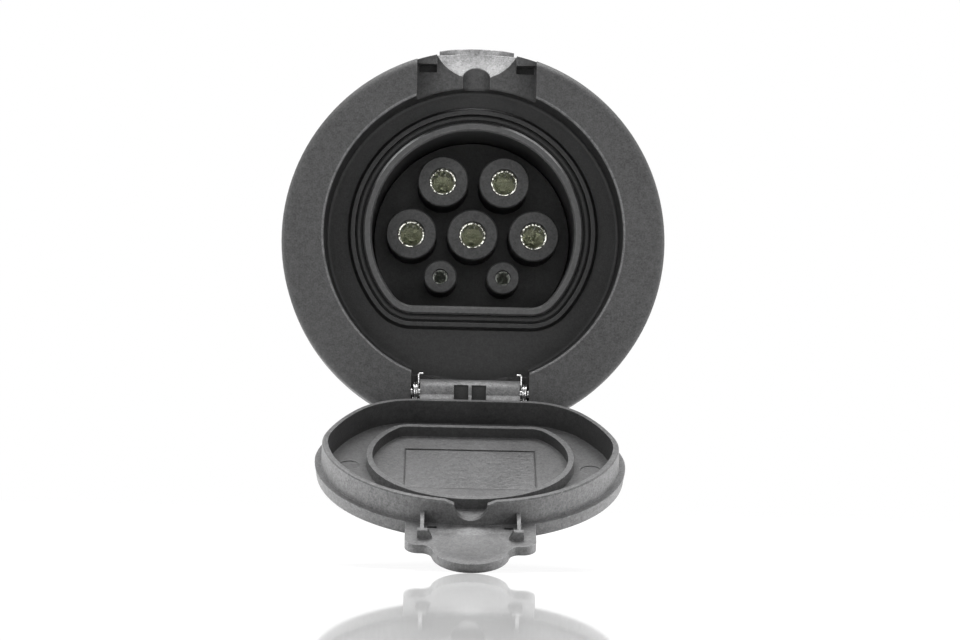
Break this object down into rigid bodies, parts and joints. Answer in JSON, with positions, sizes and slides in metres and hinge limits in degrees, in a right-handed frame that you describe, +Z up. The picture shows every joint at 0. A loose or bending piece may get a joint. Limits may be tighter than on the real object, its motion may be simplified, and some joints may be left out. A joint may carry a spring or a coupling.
{
  "type": "ev charging socket outlet",
  "caption": "Round panel socket for an electric vehicle charging plug, with sleeved contacts in a D-shaped cavity and a sprung hinged lid with a finger tab.",
  "frame": {"origin": "centre of the bolt circle on the flange's rear face", "axes": "+Y runs back into the panel along the plug's way in, so the front faces -Y, +Z is up, and the lid hinges at the bottom"},
  "size_m": [0.0992, 0.1521, 0.1323],
  "materials": {
    "flange_plastic": "fine matte grain",
    "lid_plastic": "fine matte grain",
    "shell_plastic": "satin",
    "carrier_plastic": "satin",
    "seal_rubber": "matte",
    "insert_brass": "knurled brass",
    "contact_plating": "silver plated",
    "crown_plating": "silver plated",
    "screw_steel": "zinc plated",
    "pin_steel": "ground",
    "spring_steel": "bright drawn wire"
  },
  "bodies": {
    "housing": {"front_flange": "flange_plastic", "collar_seal": "seal_rubber", "panel_gasket": "seal_rubber", "mounting_inserts": "insert_brass", "socket_shell": "shell_plastic", "shell_screws": "screw_steel", "carrier_gasket": "seal_rubber", "contact_carrier": "carrier_plastic", "contact_retainer": "carrier_plastic", "rear_screws": "screw_steel", "hinge_pin": "pin_steel", "spring_left": "spring_steel", "spring_right": "spring_steel", "contact_l1": "contact_plating", "contact_earth": "contact_plating", "contact_neutral": "contact_plating", "contact_l2": "contact_plating", "contact_l3": "contact_plating", "contact_pilot": "contact_plating", "contact_proximity": "contact_plating", "crown_l1": "crown_plating", "crown_earth": "crown_plating", "crown_neutral": "crown_plating", "crown_l2": "crown_plating", "crown_l3": "crown_plating"},
    "lid": {"lid": "lid_plastic"}
  },
  "joints": [
    {"name": "lid_hinge", "type": "hinge", "parent": "housing", "child": "lid", "pos_m": [0, -0.0083, -0.03925], "axis": [-1, 0, 0], "range_deg": [0, 114.5], "stiffness_Nm_per_rad": 0.008, "springref_deg": -28.65}
  ]
}
